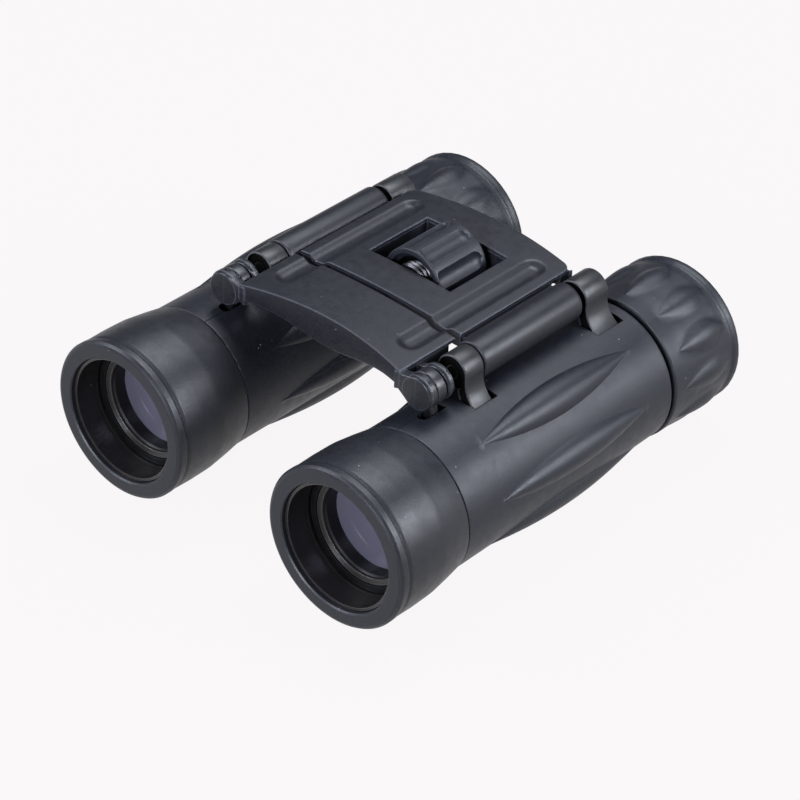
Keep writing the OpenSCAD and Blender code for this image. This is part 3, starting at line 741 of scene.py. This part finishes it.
def eyepiece(side):
    """Field lens and eye lens."""
    label = SIDE[side]
    body = "left_barrel" if side > 0 else "right_ocular"
    for part, radii, ys in (("field", (400, -22), (84.6, 90)), ("eye", (24, -24), (98.8, 106.2))):
        lens = lathe(lens_profile(EYE_GLASS_R, radii, ys), closed=False, segments=96)
        build(f"{label}_{part}_glass", lens, barrel(side), body, [f"{label}_{part}_lens"],
              LENS)


# ---- bridge ----

PLATE_RISE = 27.2          # top of the plates in the middle, and its drop at their sides
PLATE_DROP = 1.2
FLUTE_X = 17.5             # centre line, half width and depth of the thumb flutes
FLUTE_HALF = 2.85
FLUTE_DEPTH = 1.05


def plate_top(x):
    """Height of the arched plates over the barrels' axes."""
    return PLATE_RISE - PLATE_DROP * (x / PLATE_X) ** 2


def flute(x, y, start, end):
    """Depth of the long thumb flute at a point; its ends are round."""
    along = max(0.0, start + FLUTE_HALF - y, y - (end - FLUTE_HALF))
    reach = math.hypot(abs(x) - FLUTE_X, along) / FLUTE_HALF
    if reach >= 1:
        return 0.0
    return FLUTE_DEPTH * (1 + math.cos(math.pi * reach ** 1.9)) / 2


def cover_top(x, y):
    """Height of the cover's face with its flutes, which run out over its front edge."""
    return plate_top(x) - flute(x, y, COVER_FRONT - 6, 79.8)


def cover_rear(x):
    """Rear edge of the cover, bowed, with a round corner at each side."""
    corner = 2.0
    bow = COVER_REAR - 2.0 * (x / PLATE_X) ** 2
    over = abs(x) - (PLATE_X - corner)
    if over <= 0:
        return bow
    return bow - (corner - math.sqrt(max(0.0, corner ** 2 - min(over, corner) ** 2)))


def outside_window(x, y):
    """Distance from the window's edge, negative inside it."""
    dx = abs(x) - WINDOW_X
    dy = max(WINDOW[0] - y, y - WINDOW[1])
    if dx < 0 and dy < 0:
        return max(dx, dy)
    return math.hypot(max(dx, 0), max(dy, 0))


def top_cover():
    """Cover plate with the window for the wheel and the two thumb flutes."""
    edge = 0.32
    thick = 0.85
    xs = grid_lines(-PLATE_X, -WINDOW_X, WINDOW_X, PLATE_X, step=0.45)
    vs = grid_lines(COVER_FRONT, WINDOW[0], WINDOW[1], COVER_REAR)
    pivot = WINDOW[1] + 0.5

    def place_y(x, v):
        if v <= pivot:
            return v
        return pivot + (v - pivot) * (cover_rear(x) - pivot) / (COVER_REAR - pivot)

    def top(x, y):
        near = min(PLATE_X - abs(x), y - COVER_FRONT, cover_rear(x) - y, outside_window(x, y))
        return cover_top(x, y) - edge_drop(near, edge)

    def bottom(x, y):
        return cover_top(x, y) - thick

    shape = slab(xs, vs, place_y, top, bottom, lambda x, v: outside_window(x, v) > 0)
    build("cover_plate", shape, middle, "bridge", ["top_cover"], PAINT, sharp=40)


def bridge_casting():
    """Deck under the cover, with the window through it, the two hinge tubes and the screw's housing."""
    deck_z = 22.3
    step_x = PLATE_X - 0.35
    gap = 0.02
    web_x = HINGE_X - 2.4
    web_z = 24.6
    web = (48.2, 76.6)
    notch_x = 20.7
    notch = (77.4, 80.4)
    rod_hole = 2.0
    front = COVER_FRONT + 0.45

    def place_y(x, v):
        return min(v, cover_rear(min(abs(x), PLATE_X - 2)) - 0.5) if abs(x) <= step_x else v

    def top(x, y):
        if abs(x) > step_x + gap / 2:
            return web_z
        near = min(step_x + 0.3 - abs(x), y - front + 0.1)
        return cover_top(x, y) - 0.9 - edge_drop(near, 0.25)

    def bottom(x, y):
        if abs(x) >= rod_hole or y > WINDOW[0] + 0.1:
            return deck_z
        return max(deck_z, FOCUS_RISE + math.sqrt(rod_hole ** 2 - x ** 2))

    def keep(x, v):
        if abs(x) > step_x + gap:
            return web[0] < v < web[1]
        if abs(x) > notch_x and notch[0] < v < notch[1]:
            return False
        return outside_window(x, v) > 0

    marks = (rod_hole, WINDOW_X, notch_x, step_x, web_x)
    xs = grid_lines(*[-x for x in reversed(marks)], *marks) + [-step_x - gap, step_x + gap]
    vs = grid_lines(front, web[0], WINDOW[0], WINDOW[1], web[1], COVER_REAR - 0.9) + list(notch)
    deck = slab(sorted(xs), sorted(vs), place_y, top, bottom, keep)
    tube_r, bore = 4.35, PIN_R + FIT
    tubes = []
    for side in (-1, 1):
        tube = lathe(rounded([
            (bore, HINGE_TUBE[0]), (tube_r, HINGE_TUBE[0], 0.5), (tube_r, HINGE_TUBE[1], 0.95),
            (bore, HINGE_TUBE[1])
        ], steps=6), segments=128)
        tubes.append(shifted(tube, side * HINGE_X, HINGE_RISE))
    half, low, high = 5.6, 17.6, deck_z + 0.1
    channel = arc(0, FOCUS_RISE, rod_hole, -30, -150, 12)
    outline = [(-half, low), (half, low), (half, high)] + channel + [(-half, high)]
    housing = prism(outline, 50.6, WINDOW[0], edge=0.1)
    build("bridge_casting", joined(deck, housing, *tubes), middle, "bridge", ["main_bridge"],
          PAINT, sharp=38)


def front_edge(x):
    """Front edge of the front bridge, set back in the middle."""
    return EAR[0] + 2.8 * (1 - (x / PLATE_X) ** 2)


def front_low(x):
    """Lower edge of the front bridge's face, deepest in the middle."""
    return 19.7 + 2.6 * (1 - math.cos(math.pi * min(1, abs(x) / 19))) / 2


def front_bridge():
    """Front plate with its deep front face, and the two ears on each side."""
    edge = 0.3
    face = 2.2
    length = FRONT_PLATE_END - EAR[0]
    xs = grid_lines(-PLATE_X, PLATE_X, step=0.45)
    vs = sorted(grid_lines(0, length) + [face - 0.02, face + 0.02])

    def place_y(x, v):
        start = front_edge(x)
        return start + v * (FRONT_PLATE_END - start) / length

    def fluted(x, y):
        """Height of the plate's face with its flutes, which run out over its rear edge."""
        return plate_top(x) - flute(x, y, 34.3, FRONT_PLATE_END + 8)

    def top(x, y):
        near = min(PLATE_X - abs(x), y - front_edge(x), FRONT_PLATE_END - y)
        return fluted(x, y) - edge_drop(near, edge)

    def bottom(x, y):
        if y < place_y(x, face):
            return front_low(x) + edge_drop(y - front_edge(x), 0.25)
        thick = 0.95 + 1.3 * (1 - (abs(x) / PLATE_X) ** 4)
        return fluted(x, y) - thick

    plate = slab(xs, vs, place_y, top, bottom, lambda x, v: True)
    parts = [plate]
    inner, outer, low, high = 20.9, 22.6, 21.4, 25.2
    for side in (-1, 1):
        parts.append(ear(side, EAR, 25.55, 21.2))
        parts.append(ear(side, REAR_EAR, 24.9, 21.6))
        wall = [(side * inner, low), (side * outer, low), (side * outer, high), (side * inner, high)]
        parts.append(prism(wall, EAR[0] + 3.2, FRONT_PLATE_END - 1.6, edge=0.15))
    piece = build("front_plate", joined(*parts), middle, "front_bridge", ["front_bridge"],
                  PAINT, sharp=38)
    paint_faces(piece, HINGE, lambda x, y, z, n: abs(x) > 23.4)


def ear(side, span, web_top, web_low):
    """Disc round a hinge axis with the web that joins it to the front plate."""
    r = 4.05
    root = 21.4
    groove = span[0] + 0.75
    disc = shifted(lathe(rounded([
        (0, span[0]), (r - 0.35, span[0], 0.3), (r, groove, 0.2), (r - 0.12, groove + 0.06),
        (r, groove + 0.14), (r, span[1], 0.25), (0, span[1])
    ], closed=False), closed=False, segments=96), side * HINGE_X, HINGE_RISE)
    outline = [
        (side * root, web_top), (side * 23.6, web_top), (side * (HINGE_X - 0.2), HINGE_RISE + r - 0.25),
        (side * (HINGE_X - 0.2), HINGE_RISE - r + 0.3), (side * (HINGE_X - 2.4), HINGE_RISE - r + 1.1),
        (side * 22.6, web_low + 0.35), (side * root, web_low)
    ]
    return joined(disc, prism(outline, span[0] + 0.03, span[1] - 0.05, edge=0.25))


# ---- focus ----

def focus_wheel():
    """Wheel with eight wide flutes, blunt in front and round behind; its front end is a dished ring."""
    front, rear = node_span("focus_wheel")
    flutes = [24 + 45 * k for k in range(8)]
    flute_front, flute_rear, half = 57.95, 72.0, 2.1
    depth = 0.9
    least = 0.06

    def width(y):
        if not flute_front < y < flute_rear:
            return least
        behind = max(0, y - (flute_rear - half)) / half
        before = max(0, flute_front + half - y) / half
        return max(least, half * math.sqrt(1 - max(behind ** 2, before ** 6)))

    def lift(y, t):
        if not flute_front < y < flute_rear:
            return 0.0
        return -depth * (width(y) / half) ** 1.2 * (1 - t * t)

    def base(y):
        return WHEEL_R - edge_drop(y - front, 0.4) - edge_drop(rear - y, 0.6)

    stations = [front + d for d in (0, 0.03, 0.08, 0.16, 0.26, 0.34)]
    stations += [flute_front + d for d in (0.02, 0.1, 0.25, 0.45, 0.7, 1.0, 1.4, 1.95)]
    stations += [61 + 8.4 * k / 12 for k in range(13)]
    stations += [flute_rear - d for d in (1.95, 1.4, 1.0, 0.7, 0.45, 0.25, 0.1, 0.02)]
    stations += [rear - d for d in (1.0, 0.6, 0.45, 0.3, 0.18, 0.08, 0.02, 0)]
    rows = bump_rows(stations, base, flutes, width, lift, across=14, between=6)
    bore = ROD_R + FIT
    web_front, web_rear = 67, 70.2
    rows += ring_rows(rows, rounded([
        (7.2, rear), (3.6, rear, 0.3), (3.6, web_rear), (bore, web_rear), (bore, web_front), (6.1, web_front),
        (5.6, front + 1.3, 0.3), (6.3, front + 0.9, 0.3), (6.7, front, 0.25), (7.3, front)
    ], closed=False))
    shape = shifted(grid(rows, wrap_rows=True), 0, FOCUS_RISE)
    build("wheel_grip", shape, middle, "focus_wheel", ["focus_wheel"], WHEEL, sharp=34)


def focus_screw():
    """Hollow screw with a real helical thread."""
    start, end = WINDOW[0] + 0.1, WINDOW[0] + 8.6
    pitch, crest, depth = 1.15, 4.5, 0.6
    bore = ROD_R + FIT
    row_gap = 0.09
    angles = [math.tau * j / 96 for j in range(96)]

    def thread_r(y, angle):
        phase = ((y - start) / pitch - angle / math.tau) % 1
        rise = min(1.0, max(0.0, 2.2 * (0.5 - abs(phase - 0.5)) - 0.12))
        return crest - depth + depth * rise

    def row(y, radius):
        return [(radius(y, a) * math.cos(a), y, radius(y, a) * math.sin(a)) for a in angles]

    rows = [row(start + row_gap * k, thread_r) for k in range(int((end - start) / row_gap) + 1)]
    rows += [row(y, lambda y, a: bore) for y in (end, start)]
    shape = shifted(grid(rows, wrap_rows=True), 0, FOCUS_RISE)
    build("focus_thread", shape, middle, "bridge", ["focus_screw"], THREAD, sharp=50)


# ---- everything ----

top_cover()
bridge_casting()
front_bridge()
focus_wheel()
focus_screw()
diopter_ring()
for side in SIDE:
    objective_bell(side)
    armour(side)
    strap(side, "front", FRONT_STRAP)
    strap(side, "rear", REAR_STRAP)
    eyecup(side)
    objective(side)
    eyepiece(side)

# The plain nodes that no detailed piece replaces get their material and a small bevel
node_slots = {part["node"]: part["material_slot"] for part in frame["record"]["subparts"]}
for node, carried in frame["nodes"].items():
    carried.data.materials.clear()
    carried.data.materials.append(SLOT_MATERIALS[node_slots[node]])
    bevel = carried.modifiers.new("soft_edges", "BEVEL")
    bevel.width = 0.15 * MM
    bevel.segments = 2
    bevel.limit_method = "ANGLE"
    bevel.angle_limit = math.radians(40)


# ---- stage ----

def area_light(name, azimuth, elevation, distance, size, power, color):
    """Soft box that looks at the object from an azimuth (0 is from the front) and an elevation."""
    data = bpy.data.lights.new(name, "AREA")
    data.shape = "RECTANGLE"
    data.size, data.size_y = size
    data.energy = power
    data.color = color
    lamp = bpy.data.objects.new(name, data)
    bpy.context.scene.collection.objects.link(lamp)
    a, b = math.radians(azimuth), math.radians(elevation)
    direction = Vector((math.sin(a) * math.cos(b), -math.cos(a) * math.cos(b), math.sin(b)))
    lamp.location = direction * distance
    lamp.rotation_euler = direction.to_track_quat("Z", "Y").to_euler()


def stage():
    """Plain pale floor that glows evenly, like a light table, and soft studio light."""
    floor_mesh = bpy.data.meshes.new("floor")
    reach = 12.0
    corners = [(-reach, -reach, 0), (reach, -reach, 0), (reach, reach, 0), (-reach, reach, 0)]
    floor_mesh.from_pydata(corners, [], [(0, 1, 2, 3)])
    floor = bpy.data.objects.new("floor", floor_mesh)
    bpy.context.scene.collection.objects.link(floor)
    m = Nodes("floor")
    m.shader.inputs["Base Color"].default_value = (0.01, 0.01, 0.01, 1)
    m.shader.inputs["Roughness"].default_value = 1.0
    m.shader.inputs["Specular IOR Level"].default_value = 0.0
    m.shader.inputs["Emission Color"].default_value = (0.925, 0.905, 0.915, 1)
    m.shader.inputs["Emission Strength"].default_value = 1.0
    floor_mesh.materials.append(m.material)
    world = bpy.data.worlds.new("studio")
    bpy.context.scene.world = world
    world.use_nodes = True
    background = world.node_tree.nodes["Background"]
    background.inputs["Color"].default_value = (0.90, 0.93, 1.0, 1)
    background.inputs["Strength"].default_value = 0.1
    area_light("key", 116, 26, 0.9, (0.5, 0.36), 13.8, (0.93, 0.98, 1.06))
    area_light("left_fill", -50, 34, 1.0, (0.5, 0.4), 11.0, (0.92, 0.97, 1.05))
    area_light("front_fill", 14, 22, 1.1, (0.4, 0.35), 19.5, (0.93, 0.98, 1.05))
    area_light("top", 195, 68, 1.0, (0.7, 0.4), 13.2, (0.93, 0.98, 1.05))
    bpy.context.scene.view_settings.view_transform = "Standard"


def camera():
    """Camera of the main view: from the front left and above, with a long lens."""
    azimuth, elevation, roll = (math.radians(v) for v in (40.09, 35.30, 2.83))
    target = Vector((0.0036, -0.0055, 0.0159))
    distance = 0.680
    back = Vector((
        math.sin(azimuth) * math.cos(elevation),
        -math.cos(azimuth) * math.cos(elevation),
        math.sin(elevation)
    ))
    level = Vector((math.cos(azimuth), math.sin(azimuth), 0))
    right = level * math.cos(roll) + back.cross(level) * math.sin(roll)
    data = bpy.data.cameras.new("camera")
    data.lens = 140.7
    data.sensor_width = 36
    viewer = bpy.data.objects.new("camera", data)
    bpy.context.scene.collection.objects.link(viewer)
    turn = Matrix((right, back.cross(right), back)).transposed()
    viewer.matrix_world = Matrix.Translation(target + back * distance) @ turn.to_4x4()
    bpy.context.scene.camera = viewer


stage()
camera()
